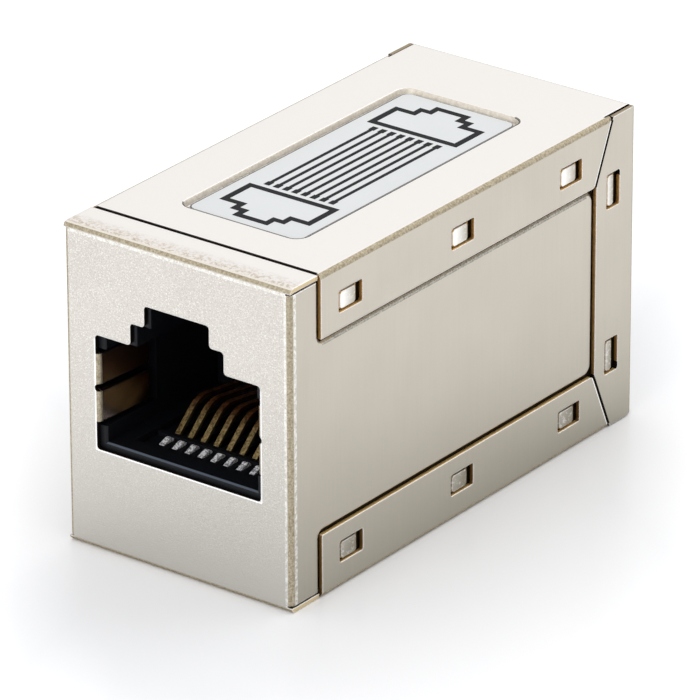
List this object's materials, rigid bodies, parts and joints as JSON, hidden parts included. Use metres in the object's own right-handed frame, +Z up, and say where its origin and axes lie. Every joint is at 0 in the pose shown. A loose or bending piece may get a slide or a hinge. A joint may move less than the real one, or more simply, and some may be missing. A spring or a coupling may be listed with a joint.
{
  "type": "rj45 inline coupler",
  "caption": "Shielded RJ45 inline coupler: two network jacks back to back in a folded metal case with a label recess on top.",
  "frame": {"origin": "centre of the case's footprint, on its underside", "axes": "+X to the right seen from the front port, +Y from the front port to the rear port, +Z up towards the label"},
  "size_m": [0.0178, 0.0364, 0.0219],
  "materials": {
    "nickel_sheet": "satin nickel plate on folded steel sheet",
    "black_moulding": "moulded, slight sheen",
    "contact_plating": "gold plate on the arch, tin at the tip",
    "board_laminate": "glass-epoxy board with solder mask",
    "label_film": "printed satin film"
  },
  "bodies": {
    "root": {"front_shell": "nickel_sheet", "rear_shell": "nickel_sheet", "label": "label_film", "circuit_board": "board_laminate", "front_jack_housing": "black_moulding", "rear_jack_housing": "black_moulding", "front_contact_holder": "black_moulding", "rear_contact_holder": "black_moulding", "front_contact_1": "contact_plating", "front_contact_2": "contact_plating", "front_contact_3": "contact_plating", "front_contact_4": "contact_plating", "front_contact_5": "contact_plating", "front_contact_6": "contact_plating", "front_contact_7": "contact_plating", "front_contact_8": "contact_plating", "rear_contact_1": "contact_plating", "rear_contact_2": "contact_plating", "rear_contact_3": "contact_plating", "rear_contact_4": "contact_plating", "rear_contact_5": "contact_plating", "rear_contact_6": "contact_plating", "rear_contact_7": "contact_plating", "rear_contact_8": "contact_plating"}
  },
  "joints": []
}
